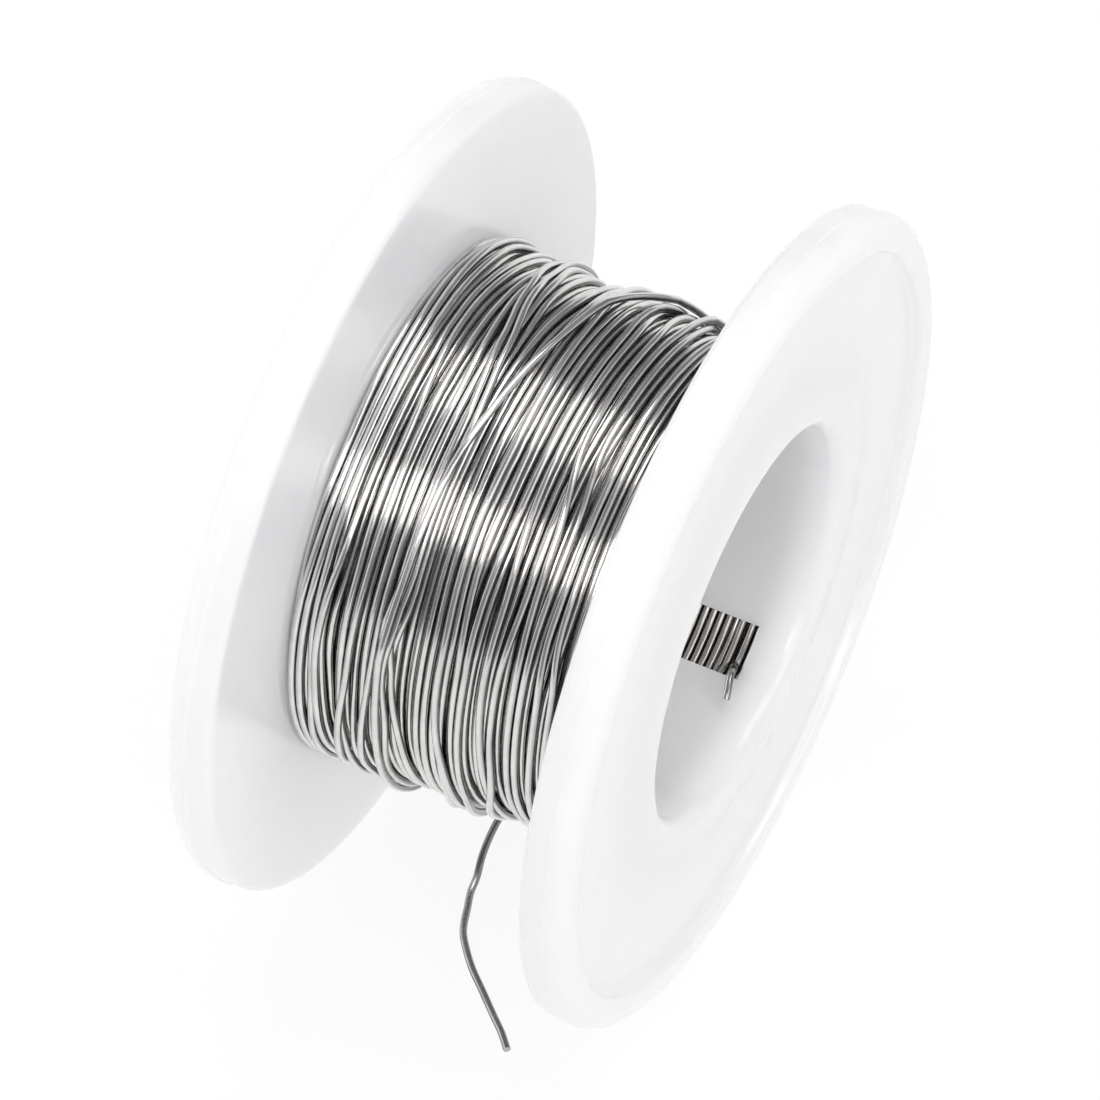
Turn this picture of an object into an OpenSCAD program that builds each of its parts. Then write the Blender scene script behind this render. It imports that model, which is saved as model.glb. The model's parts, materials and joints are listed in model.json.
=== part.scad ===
// Small spool of solder wire, standing on its two rims.
// The spool's axis lies along X, the floor is z = 0, and all sizes are in millimetres.

/* [Spool] */
// Diameter of the two flanges
flange_d = 54; // [50:0.5:60]
// Width of the spool over both rims
spool_w = 27.3; // [25:0.1:32]
// Thickness of a flange at its rim
rim_t = 3.2; // [2.8:0.1:3.8]
// Depth of the recess in a flange's outer face
recess_depth = 0.8; // [0.6:0.1:1]
// Radius of the recess, measured to the foot of the raised rim
recess_r = 24.2; // [22:0.1:24.5]
// Rounding of the rim's outer corner
rim_round = 1.4; // [0.8:0.1:1.4]
// Rounding of the rim's corner on the wire side
wire_side_round = 0.5; // [0.2:0.1:0.8]
// Step in the rim where the two mould halves meet
parting_step = 0.12; // [0.05:0.01:0.2]
// Radius of the collar around the bore's mouth
collar_r = 16.4; // [16:0.1:18]
// How far the collar stays below the rim's crest
collar_drop = 0.3; // [0.2:0.1:0.4]

/* [Barrel] */
// Diameter of the spindle bore
bore_d = 25.7; // [25:0.1:26]
// Thickness of the barrel's wall
wall_t = 1.5; // [1.2:0.1:1.8]
// Rounding of the bore's two mouths
mouth_round = 1; // [0.6:0.1:1]
// Step between the bore's two core pins, on the window's side
core_step = 0.2; // [0.16:0.01:0.3]
// Length of the window along the barrel
window_l = 5; // [4:0.1:6]
// Width of the window across the barrel
window_w = 3.8; // [3:0.1:4.5]
// Angle of the window's middle below the horizontal
window_angle = 62; // [50:1:75]

/* [Wire] */
// Diameter of the solder wire
wire_d = 0.5; // [0.4:0.05:0.6]
// Height that each wound layer adds
layer_step = 0.43; // [0.4:0.01:0.45]
// Sides of the tube that stands for a free stretch of wire
wire_sides = 8; // [8:1:12]

/* [Hidden] */
$fn = 96;

flange_r = flange_d / 2;
bore_r = bore_d / 2;
root_r = bore_r + wall_t;            // outside of the barrel, where each flange begins
web_t = rim_t - recess_depth;        // thickness of a flange inside its raised rim
inner_x = spool_w / 2 - rim_t;       // inner face of the right flange
collar_x = spool_w / 2 - collar_drop; // face of the right collar, and end of the barrel
parting_t = rim_t / 2;               // height of the parting line on the rim
shoulder = recess_depth / 2;         // both radii of the slope from the recess to the rim
collar_edge = (recess_depth - collar_drop) / 2; // both radii of the slope up to the collar
layers = 4;                          // closed layers under the loose outer turns
layers_r = root_r + layers * layer_step;
core_x = inner_x - window_l;         // where the two core pins meet
eps = 0.01;

spool_white = [0.95, 0.95, 0.96];
solder_grey = [0.72, 0.72, 0.73];

// Outline of the loose outer turns: [x, radius] of its ridges and hollows
outer_turns_outline = [
  [-inner_x, 17.2], [-10.1, 17.7], [-8.5, 17.1], [-7.1, 16.4], [-5.7, 17.2], [-3.6, 16.5],
  [-1.2, 17.1], [0.8, 17], [3.4, 16.4], [5.4, 16.8], [8, 16.7], [inner_x, 16.8]
];

// Route of the wire's start, out of the first layer and through the window into the bore:
// [x, angle below the horizontal, radius]
start_route = [
  [9.9, 65.5, 14.1], [10, 67.2, 13.2], [10.1, 68.6, 12.4], [10.2, 70.4, 12],
  [10.35, 73.2, 11.9], [10.5, 76, 12], [10.6, 78.4, 12.2]
];

// Route of the wire's free tail, from the underside of the winding down to the floor and
// along it: [x, y, z]
tail_route = [
  [-1, 6, 10.6], [-1, 4.5, 10.1], [-1, 3, 9.6], [-1.1, 1.6, 9.1], [-1.1, 0.2, 8.5],
  [-1.2, -1.2, 7.8], [-1.2, -2.5, 7], [-1.3, -3.6, 6.2], [-1.4, -4.6, 5.2], [-1.7, -5.6, 4.2],
  [-1.9, -6.4, 3.2], [-2, -7.2, 2.1], [-1.9, -8.1, 1.2], [-1.9, -9, 0.6],
  [-1.6, -10.1, 0.25], [-1.3, -11.1, 0.25], [-0.9, -12, 0.25], [0, -13.2, 0.25],
  [0.9, -14.2, 0.25], [2.1, -15.3, 0.25], [3.6, -16.7, 0.25], [4.7, -17.7, 0.25],
  [5.6, -18.7, 0.25]
];

// Turns a solid that was made around Z so that it lies around the spool's axis.
module around_axis() {
  translate([0, 0, flange_r]) rotate([0, 90, 0]) children();
}

// A rectangle given by its two corners
module area(low, high) {
  translate(low) square(high - low);
}

// A rise from height y0 to height y0 + 2 r: a hollow quarter circle that starts at x0,
// and then a round one
module soft_step(x0, y0, r) {
  difference() {
    area([x0, y0 - eps], [x0 + r, y0 + r]);
    translate([x0, y0 + r]) circle(r);
  }
  translate([x0 + 2 * r, y0 + r]) circle(r);
  area([x0 + r, y0 - eps], [x0 + 2 * r, y0 + r]);
}

// Section of a flange: radius along X, and height above its wire-side face along Y
module flange_section() {
  rim_inner_r = flange_r - parting_step;
  crest_r = recess_r + 2 * shoulder;
  // web and collar
  area([root_r, 0], [recess_r + eps, web_t]);
  area([root_r, 0], [collar_r - 2 * collar_edge, rim_t - collar_drop]);
  translate([collar_r, 0]) mirror([1, 0]) soft_step(0, web_t, collar_edge);
  // rim, wire-side half
  area([recess_r, 0], [rim_inner_r - wire_side_round, parting_t]);
  area([recess_r, wire_side_round], [rim_inner_r, parting_t]);
  translate([rim_inner_r - wire_side_round, wire_side_round]) circle(wire_side_round);
  // rim, outer half
  area([recess_r, parting_t - eps], [flange_r, rim_t - rim_round]);
  area([crest_r, parting_t - eps], [flange_r - rim_round, rim_t]);
  translate([flange_r - rim_round, rim_t - rim_round]) circle(rim_round);
  area([recess_r, parting_t - eps], [crest_r + eps, web_t]);
  soft_step(recess_r, web_t, shoulder);
}

module flange() {
  translate([0, 0, inner_x]) rotate_extrude() flange_section();
}

// Section of one end of the barrel: its bore's radius, and where it starts along the axis
module barrel_end_section(inside_r, from_x) {
  mouth_x = collar_x - mouth_round;
  area([inside_r, from_x], [root_r, mouth_x]);
  area([inside_r + mouth_round, from_x], [root_r, collar_x]);
  intersection() {
    translate([inside_r + mouth_round, mouth_x]) circle(mouth_round);
    area([inside_r, mouth_x], [inside_r + mouth_round, collar_x]);
  }
}

module barrel() {
  color(spool_white) around_axis() difference() {
    rotate_extrude() {
      mirror([0, 1]) barrel_end_section(bore_r, -core_x);
      barrel_end_section(bore_r + core_step, core_x);
    }
    // window for the wire's start, up to the right flange
    rotate(90 - window_angle) translate([bore_r - wall_t, -window_w / 2, core_x])
      cube([3 * wall_t, window_w, window_l]);
  }
}

module right_flange() {
  color(spool_white) around_axis() flange();
}

module left_flange() {
  color(spool_white) around_axis() mirror([0, 0, 1]) flange();
}

// One closed layer of turns, counted from the barrel
module wire_layer(number) {
  inside = root_r + (number - 1) * layer_step;
  color(solder_grey) around_axis() translate([0, 0, -inner_x]) rotate_extrude()
    area([inside, 0], [inside + layer_step, 2 * inner_x]);
}

module wire_layer_1() {
  wire_layer(1);
}

module wire_layer_2() {
  wire_layer(2);
}

module wire_layer_3() {
  wire_layer(3);
}

module wire_layer_4() {
  wire_layer(4);
}

module wire_outer_turns() {
  color(solder_grey) around_axis() rotate_extrude() polygon(concat(
    [[layers_r, inner_x], [layers_r, -inner_x]],
    [for (p = outer_turns_outline) [p[1], p[0]]]
  ));
}

function unit(v) = v / norm(v);

// Direction of the route at point i
function heading(route, i) =
  unit(route[min(i + 1, len(route) - 1)] - route[max(i - 1, 0)]);

// Ring of points around point i of the route, square to it
function ring(route, i, r, sides) =
  let (
    along = heading(route, i),
    side = unit(cross(along, [0.1, 0.2, 1])),
    over = cross(side, along)
  )
  [for (k = [0 : sides - 1])
    let (a = 360 * (k + 0.5) / sides)
    route[i] + r * (cos(a) * side + sin(a) * over)];

// A tube of radius r along the route's points
module tube(route, r, sides) {
  last = len(route) - 1;
  points = [for (i = [0 : last]) each ring(route, i, r, sides)];
  walls = [for (i = [0 : last - 1], k = [0 : sides - 1])
    [i * sides + k, (i + 1) * sides + k,
     (i + 1) * sides + (k + 1) % sides, i * sides + (k + 1) % sides]];
  ends = [
    [for (k = [0 : sides - 1]) k],
    [for (k = [sides - 1 : -1 : 0]) last * sides + k]
  ];
  polyhedron(points, concat(walls, ends));
}

module wire_start() {
  route = [for (p = start_route)
    [p[0], p[2] * cos(p[1]), flange_r - p[2] * sin(p[1])]];
  color(solder_grey) tube(route, wire_d / 2, wire_sides);
}

module wire_tail() {
  color(solder_grey) tube(tail_route, wire_d / 2, wire_sides);
}

barrel();
left_flange();
right_flange();
wire_start();
wire_layer_1();
wire_layer_2();
wire_layer_3();
wire_layer_4();
wire_outer_turns();
wire_tail();
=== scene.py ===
"""A small white spool of solder wire, standing on its rims on a pale floor.

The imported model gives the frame. The spool is one moulding, and the wire is one continuous
strand: its start is hooked into the bore, its turns are laid on each other one by one, and
its tail comes off the underside and lies in front. The spool and the wire are worked out in
millimetres, and meshes are scaled to metres as they are made. The camera, the lights, the
floor and the tail's route are in metres.
"""
import json
import math

import bmesh
import bpy
import numpy as np
from mathutils import Matrix, Vector


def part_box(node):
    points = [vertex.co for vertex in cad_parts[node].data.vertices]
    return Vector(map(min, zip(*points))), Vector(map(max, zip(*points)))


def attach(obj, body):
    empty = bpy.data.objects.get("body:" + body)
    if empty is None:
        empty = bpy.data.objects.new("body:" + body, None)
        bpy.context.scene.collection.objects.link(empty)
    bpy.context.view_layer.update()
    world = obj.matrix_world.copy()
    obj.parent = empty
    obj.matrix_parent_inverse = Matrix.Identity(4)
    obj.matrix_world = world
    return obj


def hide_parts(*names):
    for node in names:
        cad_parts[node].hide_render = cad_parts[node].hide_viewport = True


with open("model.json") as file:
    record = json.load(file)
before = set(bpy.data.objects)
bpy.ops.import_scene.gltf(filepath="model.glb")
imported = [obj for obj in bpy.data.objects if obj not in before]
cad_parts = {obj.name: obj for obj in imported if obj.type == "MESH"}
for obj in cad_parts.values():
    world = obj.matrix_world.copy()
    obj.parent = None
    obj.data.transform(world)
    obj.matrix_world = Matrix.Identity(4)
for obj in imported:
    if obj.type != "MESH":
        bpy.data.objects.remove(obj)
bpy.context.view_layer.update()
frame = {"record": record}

MM = 0.001

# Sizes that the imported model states
flange_low, flange_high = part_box("right_flange")
barrel_low, barrel_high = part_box("barrel")
INNER_X = flange_low.x / MM
OUTER_X = flange_high.x / MM
COLLAR_X = barrel_high.x / MM
RIM_R = (flange_high.z - flange_low.z) / 2 / MM
AXIS_Z = (flange_high.z + flange_low.z) / 2 / MM
ROOT_R = (barrel_high.z - barrel_low.z) / 2 / MM
bore = next(m for m in frame["record"]["mounts"] if m["name"] == "spindle_bore")
BORE_R = bore["dims"]["r_mm"]
BORE_LENGTH = bore["dims"]["length_mm"]

# Details of the moulding
RIM_ROUND = 1.4
WIRE_SIDE_ROUND = 0.5
PARTING_T = 1.6
PARTING_STEP = 0.12
RECESS_R = 24.2
RECESS_DEPTH = 0.8
COLLAR_EDGE_R = 18.6  # where the face starts to swell, more gently than the CAD's collar
MOUTH_ROUND = 1.0
CORE_STEP = 0.2
CORE_X = BORE_LENGTH - (COLLAR_X - MOUTH_ROUND)  # where the two core pins meet
WINDOW_ANGLE = -62.0  # degrees from +Y towards +Z
SPOOL_SEGMENTS = 288  # steps around the spool
WINDOW_SEGMENTS = 13  # steps that the window takes

# Solder wire
WIRE_D = 0.5
WIRE_R = WIRE_D / 2
TURN_STEPS = 96  # points along one turn
SEED = 7


# ---------------------------------------------------------------- camera

def make_camera():
    """A long lens, above and in front of the spool, that looks at its right flange."""
    camera = bpy.data.objects.new("camera", bpy.data.cameras.new("camera"))
    bpy.context.scene.collection.objects.link(camera)
    camera.location = (0.124762, -0.252305, 0.383472)
    back = Vector((0.2759, -0.5551, 0.7847)).normalized()
    right = Vector((0.8955, 0.4451, 0.0)).normalized()
    up = back.cross(right)
    camera.rotation_mode = "QUATERNION"
    camera.rotation_quaternion = Matrix((right, up, back)).transposed().to_quaternion()
    camera.data.lens = 238.34
    camera.data.sensor_width = 36.0
    camera.data.clip_start = 0.01
    camera.data.clip_end = 10.0
    bpy.context.scene.camera = camera


# ---------------------------------------------------------------- the wire's centreline

def point_at(x, angle, radius):
    """A point from its place along the spool's axis, its angle in degrees and its radius."""
    a = np.radians(angle)
    return np.stack(np.broadcast_arrays(x, radius * np.cos(a), AXIS_Z + radius * np.sin(a)), -1)


def smooth_line(points, steps):
    """Points on a Catmull-Rom curve through the given points."""
    p = np.array(points, float)
    p = np.vstack([2 * p[0] - p[1], p, 2 * p[-1] - p[-2]])
    out = []
    for i in range(1, len(p) - 2):
        for k in range(steps):
            t = k / steps
            out.append(0.5 * (
                2 * p[i] + (p[i + 1] - p[i - 1]) * t
                + (2 * p[i - 1] - 5 * p[i] + 4 * p[i + 1] - p[i + 2]) * t ** 2
                + (3 * p[i] - p[i - 1] - 3 * p[i + 1] + p[i + 2]) * t ** 3))
    out.append(p[-2])
    return np.array(out)


# The wire's free tail, from the underside of the winding down to the floor, in metres
TAIL_ROUTE = [
    (-0.001, 0.006, 0.0106), (-0.001, 0.0045, 0.0101), (-0.001, 0.003, 0.0096),
    (-0.0011, 0.0016, 0.0091), (-0.0011, 0.0002, 0.0085), (-0.0012, -0.0012, 0.0078),
    (-0.0012, -0.0025, 0.007), (-0.0013, -0.0036, 0.0062), (-0.0014, -0.0046, 0.0052),
    (-0.0017, -0.0056, 0.0042), (-0.0019, -0.0064, 0.0032), (-0.002, -0.0072, 0.0021),
    (-0.0019, -0.0081, 0.0012), (-0.0019, -0.009, 0.0006), (-0.0016, -0.0101, 0.00025),
    (-0.0013, -0.0111, 0.00025), (-0.0009, -0.012, 0.00025), (0, -0.0132, 0.00025),
    (0.0009, -0.0142, 0.00025), (0.0021, -0.0153, 0.00025), (0.0036, -0.0167, 0.00025),
    (0.0047, -0.0177, 0.00025), (0.0056, -0.0187, 0.00025),
]

# The wire's start, from its cut end in the bore to the first turn: (x, angle, radius)
START_ROUTE = [
    (10.6, -78.4, 12.2), (10.5, -76, 12), (10.35, -73.2, 11.9), (10.2, -70.4, 12),
    (10.05, -68.6, 12.4), (9.9, -67.2, 13.1), (9.75, -66, 13.8), (9.6, -65.8, 14.25),
    (9.5, -66.8, 14.5), (9.45, -68.5, 14.6),
]
START_ANGLE = -70.0  # where the first turn begins


class Winding:
    """Turns of wire laid on a barrel, one after another.

    top holds, for each step of the turn and each place along the axis, how far out the
    centre of a new wire would rest there.
    """

    CELL = 0.02
    REACH = round(WIRE_D / CELL)

    def __init__(self):
        self.limit = INNER_X - WIRE_R
        cells = int(2 * INNER_X / self.CELL) + 2 * self.REACH + 2
        self.top = np.full((TURN_STEPS, cells), ROOT_R + WIRE_R)
        self.steps = np.arange(TURN_STEPS)
        self.xs, self.rs = [], []
        self.random = np.random.RandomState(SEED)
        self.phases = self.random.uniform(0, 2 * math.pi, 4)

    def column(self, x):
        return (x + INNER_X) / self.CELL + self.REACH

    def rest(self, x):
        """Radius at which wire laid at x rests, for each step of the turn."""
        c = self.column(x)
        low = np.floor(c).astype(int)
        part = c - low
        return self.top[self.steps, low] * (1 - part) + self.top[self.steps, low + 1] * part

    def sway(self, turn):
        """Slow wandering of the guide, from -1 to 1, along one turn."""
        t = 2 * math.pi * (turn + self.steps / TURN_STEPS)
        waves = [(0.37, 0.4), (0.91, 0.3), (1.73, 0.2), (3.1, 0.1)]
        return sum(h * np.sin(f * t + p) for (f, h), p in zip(waves, self.phases))

    def lay(self, guide, grip=0.05, slide=0.03, lift=0):
        """Lays one turn near the guide line: it slides into hollows and stays stiff."""
        x = np.clip(guide, -self.limit, self.limit)
        before = self.xs[-1][-1] if self.xs else x[0]
        for _ in range(60):
            slope = (self.rest(x + 0.05) - self.rest(x - 0.05)) / 0.1
            beside = np.concatenate([[before], x[:-1]])
            beyond = np.concatenate([x[1:], [2 * x[-1] - x[-2]]])
            x = x - slide * np.clip(slope, -1, 1) + grip * (guide - x)
            x = x + 0.3 * ((beside + beyond) / 2 - x)
            x = np.clip(x, -self.limit, self.limit)
        seat = self.rest(x) + lift
        r = seat.copy()
        r_before = self.rs[-1][-1] if self.rs else r[0]
        for _ in range(10):
            beside = np.concatenate([[r_before], r[:-1]])
            beyond = np.concatenate([r[1:], [r[-1]]])
            r = np.maximum(seat, (beside + r + beyond) / 3)
        self.xs.append(x)
        self.rs.append(r)
        offsets = np.arange(-self.REACH + 1, self.REACH)
        columns = np.rint(self.column(x)).astype(int)[:, None] + offsets
        columns = np.clip(columns, 0, self.top.shape[1] - 1)
        apart = (columns - self.REACH) * self.CELL - INNER_X - x[:, None]
        height = r[:, None] + np.sqrt(np.maximum(WIRE_D ** 2 - apart ** 2, 0))
        rows = self.steps[:, None]
        near = np.abs(apart) < WIRE_D
        self.top[rows, columns] = np.where(
            near, np.maximum(self.top[rows, columns], height), self.top[rows, columns])

    def traverse(self, stops, sway, **how):
        """Lays a turn from each stop to the next."""
        share = self.steps / TURN_STEPS
        for a, b in zip(stops[:-1], stops[1:]):
            guide = a + (b - a) * share + sway * self.sway(len(self.xs))
            self.lay(guide, **how)

    def points(self, first, last):
        """Centreline of turns first to last - 1."""
        x = np.concatenate(self.xs[first:last])
        r = np.concatenate(self.rs[first:last])
        turn = np.arange(first * TURN_STEPS, last * TURN_STEPS) / TURN_STEPS
        return point_at(x, START_ANGLE - 360 * turn, r)


# How many layers lie above the closed ones, along the axis: (x, layers)
RIDGES = [
    (-10.3, 3.1), (-9.9, 3.0), (-8.5, 1.3), (-7.2, 0), (-5.7, 1.3), (-3.6, 0),
    (-1.2, 1.2), (0.8, 0.9), (3.4, 0), (5.4, 0.8), (8, 0.5), (10.3, 1.1),
]


def ridge_stops(share, x_from, x_to):
    """Stops that put this share of the ridges' turns between two places along the axis."""
    x = np.linspace(x_from, x_to, 400)
    density = share * np.interp(x, *zip(*RIDGES)) / WIRE_D + 0.05
    total = np.concatenate([[0], np.cumsum((density[1:] + density[:-1]) / 2)])
    total = total * abs(x[1] - x[0])
    turns = max(1, round(total[-1]))
    return np.interp(np.linspace(0, total[-1], turns + 1), total, x)


def curve_over_turn(keys):
    """Smooth guide line of one turn from its places: (angle, x), by falling angle."""
    angle = START_ANGLE + 360 - 360 * np.arange(TURN_STEPS) / TURN_STEPS
    line = smooth_line(sorted(keys), 8)
    return np.interp(angle, line[:, 0], line[:, 1])


def wind_wire():
    """Lays every turn. Returns the winding and the turn at which each layer begins."""
    w = Winding()
    first = [0]
    edge = INNER_X - WIRE_R
    # first layer: its first three turns leave a gap for the wire's start
    settle = np.minimum(w.steps / 12, 1)
    w.lay(START_ROUTE[-1][0] + (edge - START_ROUTE[-1][0]) * settle, slide=0)
    w.lay(np.full(TURN_STEPS, 9.7), slide=0.01)
    w.lay(9.7 + (8.95 - 9.7) * settle, slide=0.01)
    w.traverse(np.linspace(8.5, -edge, 38), 0.02, slide=0.02)
    first.append(len(w.xs))
    w.traverse(np.linspace(-edge, edge, 39), 0.08)
    first.append(len(w.xs))
    w.traverse(np.linspace(edge, -edge, 39), 0.12)
    first.append(len(w.xs))
    # fourth layer: looser towards its end
    share = np.linspace(0, 1, 36)
    w.traverse(-edge + 2 * edge * (share + 0.12 * share * (share - 1)), 0.18)
    first.append(len(w.xs))
    # outer turns: loose runs that build the ridges
    w.traverse(ridge_stops(0.45, edge, -edge), 0.15)
    w.traverse(ridge_stops(0.4, -edge, edge), 0.2)
    w.traverse(ridge_stops(0.15, edge, -6), 0.2)
    pair = [(290, -6), (180, -4), (92, -4.1), (64, -5.7), (0, -5.9), (-70, -5.9)]
    w.lay(curve_over_turn(pair))
    w.lay(curve_over_turn([(a, x + 0.45) for a, x in pair]))
    # last turn, with its loose strand over the top, and back to where the tail leaves
    angle = START_ANGLE + 360 - 360 * w.steps / TURN_STEPS
    loose = [(290, -5.2), (200, -4), (150, -3.6), (120, -3.3), (107, -2.8), (93, -2.2), (86, -1.8),
             (74, -1), (61, -0.2), (53, 0.5), (46, 1.4), (38, 2.5), (28, 3.3), (12, 3.6), (-70, -1)]
    rise = 0.3 * np.exp(-((angle - 54) / 12) ** 2)
    w.lay(curve_over_turn(loose), grip=0.4, slide=0.01, lift=rise)
    return w, first


def join_to_tail(line, tail, steps):
    """Curve from the end of the winding to the start of the tail, smooth at both."""
    p0, p1 = line[-1], tail[0]
    reach = np.linalg.norm(p1 - p0)
    m0 = (line[-1] - line[-2]) / np.linalg.norm(line[-1] - line[-2]) * reach
    m1 = (tail[1] - tail[0]) / np.linalg.norm(tail[1] - tail[0]) * reach
    t = (np.arange(1, steps) / steps)[:, None]
    return ((2 * t ** 3 - 3 * t ** 2 + 1) * p0 + (t ** 3 - 2 * t ** 2 + t) * m0
            + (3 * t ** 2 - 2 * t ** 3) * p1 + (t ** 3 - t ** 2) * m1)


def frames_along(line):
    """Unit vectors across the line at each point, carried along without twist."""
    along = np.gradient(line, axis=0)
    along /= np.linalg.norm(along, axis=1)[:, None]
    across = np.zeros_like(line)
    side = np.cross(along[0], (0.0, 0.3, 1.0))
    for i, t in enumerate(along):
        side = side - t * (side @ t)
        side = side / math.sqrt(side @ side)
        across[i] = side
    return across, np.cross(along, across)


# ---------------------------------------------------------------- meshes

def new_object(name, vertices, faces, smooth_below=None):
    mesh = bpy.data.meshes.new(name)
    mesh.from_pydata([tuple(v) for v in vertices], [], faces)
    mesh.validate()
    mesh.polygons.foreach_set("use_smooth", [True] * len(mesh.polygons))
    if smooth_below is not None:
        mesh.set_sharp_from_angle(angle=math.radians(smooth_below))
    obj = bpy.data.objects.new(name, mesh)
    bpy.context.scene.collection.objects.link(obj)
    return obj


def make_tube(name, line, across, over, start_length, sides):
    """A stretch of wire along its centreline, closed at both ends, with a UV map that holds
    the length along the wire and the way around it."""
    count = len(line)
    turn = 2 * math.pi * np.arange(sides) / sides
    around = (across[:, None] * np.cos(turn)[None, :, None]
              + over[:, None] * np.sin(turn)[None, :, None])
    vertices = (line[:, None] + WIRE_R * around).reshape(-1, 3) * MM
    ring = np.arange(sides)
    base = (np.arange(count - 1) * sides)[:, None]
    after = (ring + 1) % sides
    quads = np.stack([base + ring, base + sides + ring, base + sides + after, base + after], -1)
    quads = quads.reshape(-1, 4)
    faces = [*quads.tolist(), ring.tolist(), ((count - 1) * sides + ring[::-1]).tolist()]
    obj = new_object(name, vertices, faces, smooth_below=60)
    run = start_length + np.concatenate([[0], np.cumsum(np.linalg.norm(np.diff(line, axis=0), axis=1))])
    u = np.stack([run[:-1], run[1:], run[1:], run[:-1]], -1)[:, None].repeat(sides, 1)
    v = np.stack([ring, ring, ring + 1, ring + 1], -1)[None].repeat(count - 1, 0) / sides
    ends = np.zeros((2 * sides, 2))
    uv = np.concatenate([np.stack([u, v], -1).reshape(-1, 2), ends])
    layer = obj.data.uv_layers.new(name="along_wire")
    layer.data.foreach_set("uv", uv.astype(np.float32).ravel())
    return obj


def arc(x, r, radius, from_deg, to_deg, steps):
    """Points on an arc in the plane of the axis: (x, r)."""
    turn = np.radians(np.linspace(from_deg, to_deg, steps + 1))
    return [(x + radius * math.cos(t), r + radius * math.sin(t)) for t in turn]


def half_section(bore_r):
    """The moulding's section from the middle of the barrel's outside, around the flange at
    +X, and back along the bore."""
    rim_in = RIM_R - PARTING_STEP
    part_x = INNER_X + PARTING_T
    web_x = OUTER_X - RECESS_DEPTH
    slope = RECESS_DEPTH / 4
    crest_in = RECESS_R + 4 * slope
    collar_rise = COLLAR_X - web_x
    collar_top = BORE_R + CORE_STEP + MOUTH_ROUND + 0.2
    points = [(x, ROOT_R) for x in (CORE_X, (CORE_X + INNER_X) / 2, INNER_X)]
    points += [(INNER_X, r) for r in np.linspace(ROOT_R + 1.2, rim_in - WIRE_SIDE_ROUND - 0.4, 9)]
    points += arc(INNER_X + WIRE_SIDE_ROUND, rim_in - WIRE_SIDE_ROUND, WIRE_SIDE_ROUND, 180, 90, 6)
    points += [(part_x - 0.12, rim_in), (part_x - 0.03, rim_in), (part_x, rim_in + 0.02),
               (part_x + 0.03, RIM_R - 0.03), (part_x + 0.07, RIM_R), (part_x + 0.13, RIM_R)]
    points += arc(OUTER_X - RIM_ROUND, RIM_R - RIM_ROUND, RIM_ROUND, 90, 0, 12)
    points += [(OUTER_X, crest_in)]
    points += arc(OUTER_X - 2 * slope, crest_in, 2 * slope, 0, -90, 5)[1:]
    points += arc(web_x + 2 * slope, RECESS_R, 2 * slope, 90, 180, 5)[1:]
    points += [(web_x, r) for r in np.linspace(RECESS_R - 0.3, COLLAR_EDGE_R + 0.3, 6)]
    for share in np.linspace(0, 1, 9):  # the face swells gently towards the collar
        swell = (1 - math.cos(math.pi * share)) / 2
        r = COLLAR_EDGE_R + (collar_top - COLLAR_EDGE_R) * share
        points.append((web_x + collar_rise * swell, r))
    points += arc(COLLAR_X - MOUTH_ROUND, bore_r + MOUTH_ROUND, MOUTH_ROUND, 0, -90, 10)
    points += [(x, bore_r) for x in (INNER_X, (CORE_X + INNER_X) / 2, CORE_X)]
    return points


def make_moulding():
    """The spool: its section turned around the axis, with the window left open."""
    right = half_section(BORE_R + CORE_STEP)
    left = [(-x, r) for x, r in reversed(half_section(BORE_R))]
    section = right + left
    count = len(section)
    # columns of faces that the window takes out: on the barrel's outside, and in the bore
    outside = range(0, 2)
    inside = range(len(right) - 3, len(right) - 1)
    half = WINDOW_SEGMENTS / 2
    angles = [WINDOW_ANGLE + (k - half) * 360 / SPOOL_SEGMENTS
              for k in range(SPOOL_SEGMENTS)]
    x, r = np.array(section).T
    vertices = [MM * p for a in angles for p in point_at(x, a, r)]
    faces = []
    for k in range(SPOOL_SEGMENTS):
        here, there = k * count, (k + 1) % SPOOL_SEGMENTS * count
        in_window = k < WINDOW_SEGMENTS
        for i in range(count):
            j = (i + 1) % count
            if in_window and (i in outside or i in inside):
                continue
            faces.append((here + i, here + j, there + j, there + i))
        if in_window:  # end walls of the window, at CORE_X and at the flange
            for out, into in ((0, inside.stop), (outside.stop, inside.start)):
                wall = (here + out, there + out, there + into, here + into)
                faces.append(wall if out == 0 else wall[::-1])
    for k, flip in ((0, False), (WINDOW_SEGMENTS, True)):  # side walls of the window
        for step in range(2):
            wall = (k * count + step, k * count + step + 1,
                    k * count + inside.stop - step - 1, k * count + inside.stop - step)
            faces.append(wall[::-1] if flip else wall)
    obj = new_object("spool_moulding", vertices, faces)
    mesh = bmesh.new()
    mesh.from_mesh(obj.data)
    bmesh.ops.remove_doubles(mesh, verts=mesh.verts, dist=1e-7)
    bmesh.ops.recalc_face_normals(mesh, faces=mesh.faces)
    mesh.to_mesh(obj.data)
    mesh.free()
    obj.data.polygons.foreach_set("use_smooth", [True] * len(obj.data.polygons))
    obj.data.set_sharp_from_angle(angle=math.radians(40))
    return obj


# ---------------------------------------------------------------- materials

def new_material(name):
    material = bpy.data.materials.new(name)
    material.use_nodes = True
    tree = material.node_tree
    tree.nodes.clear()
    shader = tree.nodes.new("ShaderNodeBsdfPrincipled")
    output = tree.nodes.new("ShaderNodeOutputMaterial")
    tree.links.new(shader.outputs["BSDF"], output.inputs["Surface"])
    return material, tree, shader


def noise(tree, vector, scale, detail):
    node = tree.nodes.new("ShaderNodeTexNoise")
    node.inputs["Scale"].default_value = scale
    node.inputs["Detail"].default_value = detail
    tree.links.new(vector, node.inputs["Vector"])
    return node.outputs["Fac"]


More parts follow.
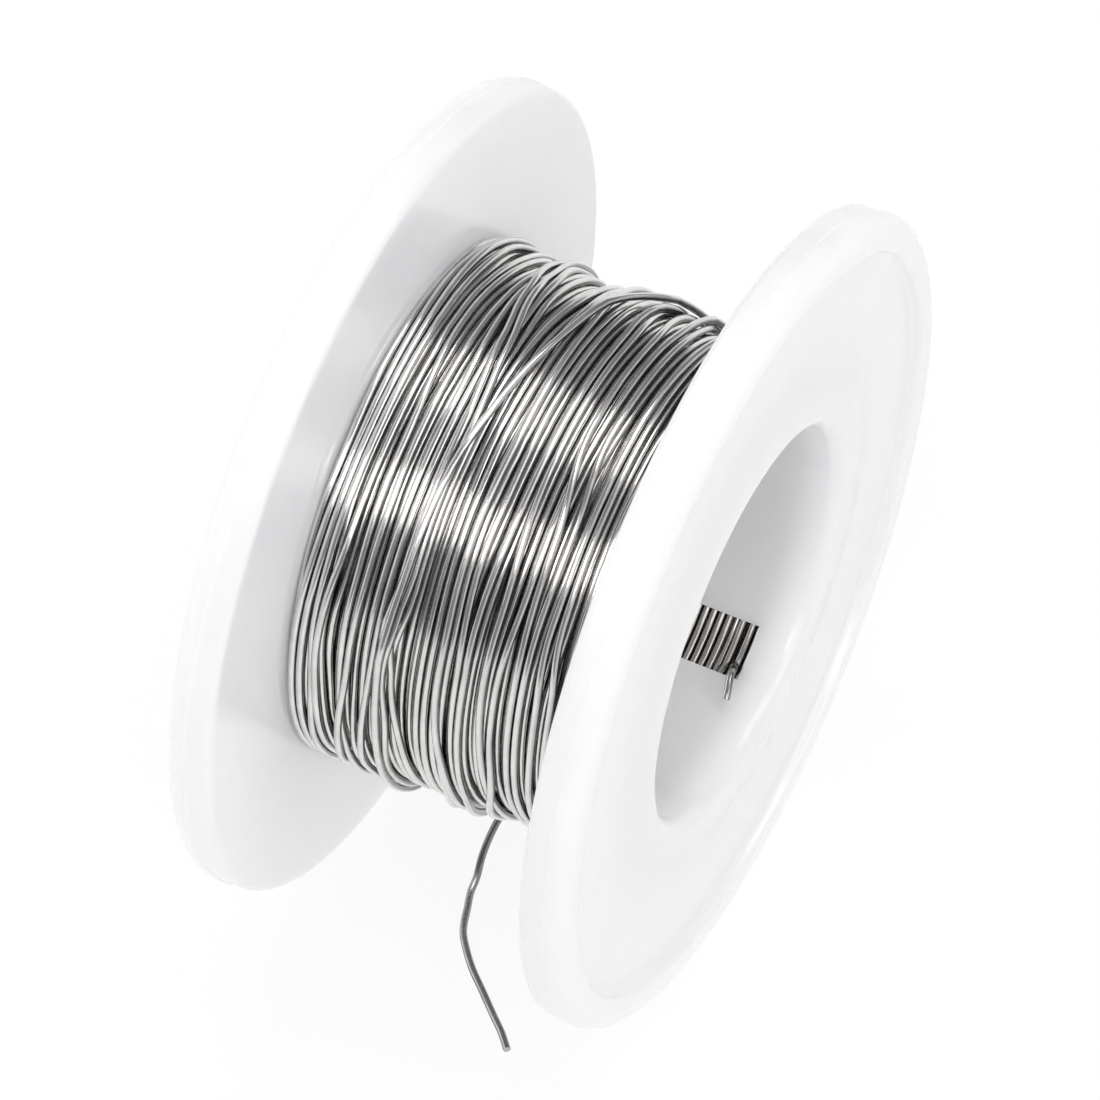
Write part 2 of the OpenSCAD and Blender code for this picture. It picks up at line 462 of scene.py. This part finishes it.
def stretched(tree, vector, scale):
    node = tree.nodes.new("ShaderNodeMapping")
    node.inputs["Scale"].default_value = scale
    tree.links.new(vector, node.inputs["Vector"])
    return node.outputs["Vector"]


def ramp(tree, value, stops):
    """A colour for a value: stops are (position, colour)."""
    node = tree.nodes.new("ShaderNodeValToRGB")
    elements = node.color_ramp.elements
    while len(elements) < len(stops):
        elements.new(0.5)
    for element, (position, colour) in zip(elements, stops):
        element.position = position
        element.color = (*colour, 1)
    tree.links.new(value, node.inputs["Fac"])
    return node.outputs["Color"]


def span(tree, value, low, high, to_low, to_high):
    node = tree.nodes.new("ShaderNodeMapRange")
    for name, number in (("From Min", low), ("From Max", high), ("To Min", to_low), ("To Max", to_high)):
        node.inputs[name].default_value = number
    tree.links.new(value, node.inputs["Value"])
    return node.outputs["Result"]


def bump(tree, shader, height, distance, strength=1.0):
    node = tree.nodes.new("ShaderNodeBump")
    node.inputs["Distance"].default_value = distance
    node.inputs["Strength"].default_value = strength
    tree.links.new(height, node.inputs["Height"])
    tree.links.new(node.outputs["Normal"], shader.inputs["Normal"])


def solder_material():
    """Drawn solder: bright grey metal with fine lines and duller patches, and painted shade that darkens
    the sides of each wire and its side towards the axis.
    """
    material, tree, shader = new_material("solder")
    uv = tree.nodes.new("ShaderNodeUVMap")
    uv.uv_map = "along_wire"
    place = tree.nodes.new("ShaderNodeTexCoord").outputs["Object"]
    lines = noise(tree, stretched(tree, uv.outputs["UV"], (0.35, 14, 1)), 1.0, 4)
    patches = noise(tree, place, 420, 3)
    colour = ramp(tree, patches, [(0.3, (0.66, 0.655, 0.645)), (0.7, (0.78, 0.773, 0.76))])
    # painted shade: darkest on the sides of each wire, where it lies against its neighbours, lighter on
    # the side towards the axis, none on the side facing out
    outward = tree.nodes.new("ShaderNodeVectorMath")
    outward.operation = "MULTIPLY_ADD"
    outward.inputs[1].default_value = (0, 1, 1)
    outward.inputs[2].default_value = (0, 0, -AXIS_Z * MM)
    tree.links.new(place, outward.inputs[0])
    unit = tree.nodes.new("ShaderNodeVectorMath")
    unit.operation = "NORMALIZE"
    tree.links.new(outward.outputs["Vector"], unit.inputs[0])
    facing = tree.nodes.new("ShaderNodeVectorMath")
    facing.operation = "DOT_PRODUCT"
    tree.links.new(unit.outputs["Vector"], facing.inputs[0])
    normal = tree.nodes.new("ShaderNodeNewGeometry").outputs["Normal"]
    tree.links.new(normal, facing.inputs[1])
    # painted shade, as a factor on the base colour, from which way the surface faces
    painted_side_shade = ramp(tree, span(tree, facing.outputs["Value"], -1, 1, 0, 1), [
        (0.15, (0.5, 0.49, 0.475)), (0.45, (0.3, 0.3, 0.3)),
        (0.55, (0.28, 0.28, 0.28)), (0.85, (1, 1, 1))])
    shade = tree.nodes.new("ShaderNodeVectorMath")
    shade.operation = "MULTIPLY"
    tree.links.new(colour, shade.inputs[0])
    tree.links.new(painted_side_shade, shade.inputs[1])
    tree.links.new(shade.outputs["Vector"], shader.inputs["Base Color"])
    shader.inputs["Metallic"].default_value = 1.0
    tree.links.new(span(tree, lines, 0.3, 0.7, 0.12, 0.24), shader.inputs["Roughness"])
    bump(tree, shader, lines, 0.000012)
    return material


def plastic_material():
    """Glossy white moulded plastic, slightly cool, with faint flow clouds and orange peel."""
    material, tree, shader = new_material("spool_plastic")
    place = tree.nodes.new("ShaderNodeTexCoord").outputs["Object"]
    clouds = noise(tree, place, 90, 2)
    colour = ramp(tree, clouds, [(0.3, (0.895, 0.893, 0.922)), (0.7, (0.912, 0.91, 0.938))])
    tree.links.new(colour, shader.inputs["Base Color"])
    shader.inputs["Specular IOR Level"].default_value = 0.5
    shader.inputs["Subsurface Weight"].default_value = 0.8
    shader.inputs["Subsurface Scale"].default_value = 0.006
    shader.inputs["Subsurface Radius"].default_value = (1.0, 1.0, 1.1)
    peel = noise(tree, place, 500, 2)
    tree.links.new(span(tree, peel, 0.3, 0.7, 0.16, 0.22), shader.inputs["Roughness"])
    bump(tree, shader, peel, 0.000002, 0.5)
    return material


# ---------------------------------------------------------------- stage

def make_floor():
    """A plain floor that gives off most of its own light, so that it stays white."""
    half = 3.0
    corners = [(-half, -half, 0), (half, -half, 0), (half, half, 0), (-half, half, 0)]
    floor = new_object("floor", corners, [(0, 1, 2, 3)])
    material, tree, shader = new_material("floor")
    shader.inputs["Base Color"].default_value = (0.12, 0.12, 0.12, 1)
    shader.inputs["Roughness"].default_value = 1.0
    shader.inputs["Specular IOR Level"].default_value = 0.0
    shader.inputs["Emission Color"].default_value = (1, 1, 1, 1)
    shader.inputs["Emission Strength"].default_value = 0.88
    floor.data.materials.append(material)


WARM = (1.0, 0.97, 0.945)


def softbox(name, angle, side, distance, width, length, power, colour=(1, 1, 1)):
    """An area light that faces the spool. angle is in degrees from +Y over the top towards
    -Y, and side in degrees from there towards +X, or towards -X where it is negative."""
    light = bpy.data.lights.new(name, "AREA")
    light.shape = "RECTANGLE"
    light.size, light.size_y = length, width
    light.energy = power
    light.color = colour
    obj = bpy.data.objects.new(name, light)
    bpy.context.scene.collection.objects.link(obj)
    a, s = math.radians(angle), math.radians(side)
    centre = Vector((0, 0, AXIS_Z * MM))
    back = Vector((math.sin(s), math.cos(a) * math.cos(s), math.sin(a) * math.cos(s)))
    across = (Vector((1, 0, 0)) - back * back.x).normalized()
    obj.location = centre + back * distance
    obj.rotation_mode = "QUATERNION"
    obj.rotation_quaternion = Matrix((across, back.cross(across), back)).transposed().to_quaternion()


def light_scene():
    world = bpy.data.worlds.new("studio")
    bpy.context.scene.world = world
    world.use_nodes = True
    sky = world.node_tree.nodes["Background"]
    sky.inputs["Color"].default_value = (0.95, 0.95, 1, 1)
    sky.inputs["Strength"].default_value = 0.25
    softbox("overhead_softbox", 72, 0, 0.8, 0.38, 0.8, 2.9, WARM)
    softbox("front_softbox", 127, 0, 0.8, 0.26, 0.9, 3.0, WARM)
    softbox("side_softbox", 118, 52, 0.8, 0.5, 0.5, 1.5)
    softbox("left_softbox", 100, -80, 0.8, 0.5, 0.5, 2.2)
    softbox("high_side_softbox", 85, 35, 0.8, 0.3, 0.5, 0.7)
    bpy.context.scene.view_settings.view_transform = "Standard"


# ---------------------------------------------------------------- the object

def make_wire(material):
    """The whole wire on one path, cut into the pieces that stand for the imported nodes."""
    winding, first = wind_wire()
    tail = smooth_line(np.array(TAIL_ROUTE) / MM, 4)
    tail[:, 2] = np.maximum(tail[:, 2], WIRE_R)  # it lies on the floor, not in it
    start = smooth_line([point_at(*p) for p in START_ROUTE], 5)
    last = len(winding.xs)
    turns = winding.points(0, last)
    # the last turn leaves the winding a little before the tail's start
    end_steps = 9
    turns = turns[:len(turns) - end_steps]
    bridge = join_to_tail(turns, tail, 10)
    line = np.vstack([start, turns, bridge, tail])
    across, over = frames_along(line)
    run = np.concatenate([[0], np.cumsum(np.linalg.norm(np.diff(line, axis=0), axis=1))])
    print("wound length in metres:", round(float(run[-len(tail)]) * MM, 2), "turns:", last)
    cuts = [0, len(start)] + [len(start) + k * TURN_STEPS for k in first[1:]]
    cuts += [len(line) - len(tail), len(line) - 1]
    names = ["wire_start", "wire_layer_1", "wire_layer_2", "wire_layer_3", "wire_layer_4",
             "wire_outer_turns", "wire_tail"]
    sides = [12, 10, 6, 6, 8, 10, 12]  # the buried layers are coarser
    for name, a, b, n in zip(names, cuts[:-1], cuts[1:], sides):
        part = slice(a, b + 1)
        piece = "solder_" + name.removeprefix("wire_")
        obj = make_tube(piece, line[part], across[part], over[part], run[a], n)
        obj.data.materials.append(material)
        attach(obj, "root")
        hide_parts(name)


def make_spool(material):
    """The moulding, which stands for the barrel and both flanges."""
    spool = make_moulding()
    spool.data.materials.append(material)
    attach(spool, "root")
    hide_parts("barrel", "left_flange", "right_flange")


make_camera()
make_wire(solder_material())
make_spool(plastic_material())
make_floor()
light_scene()
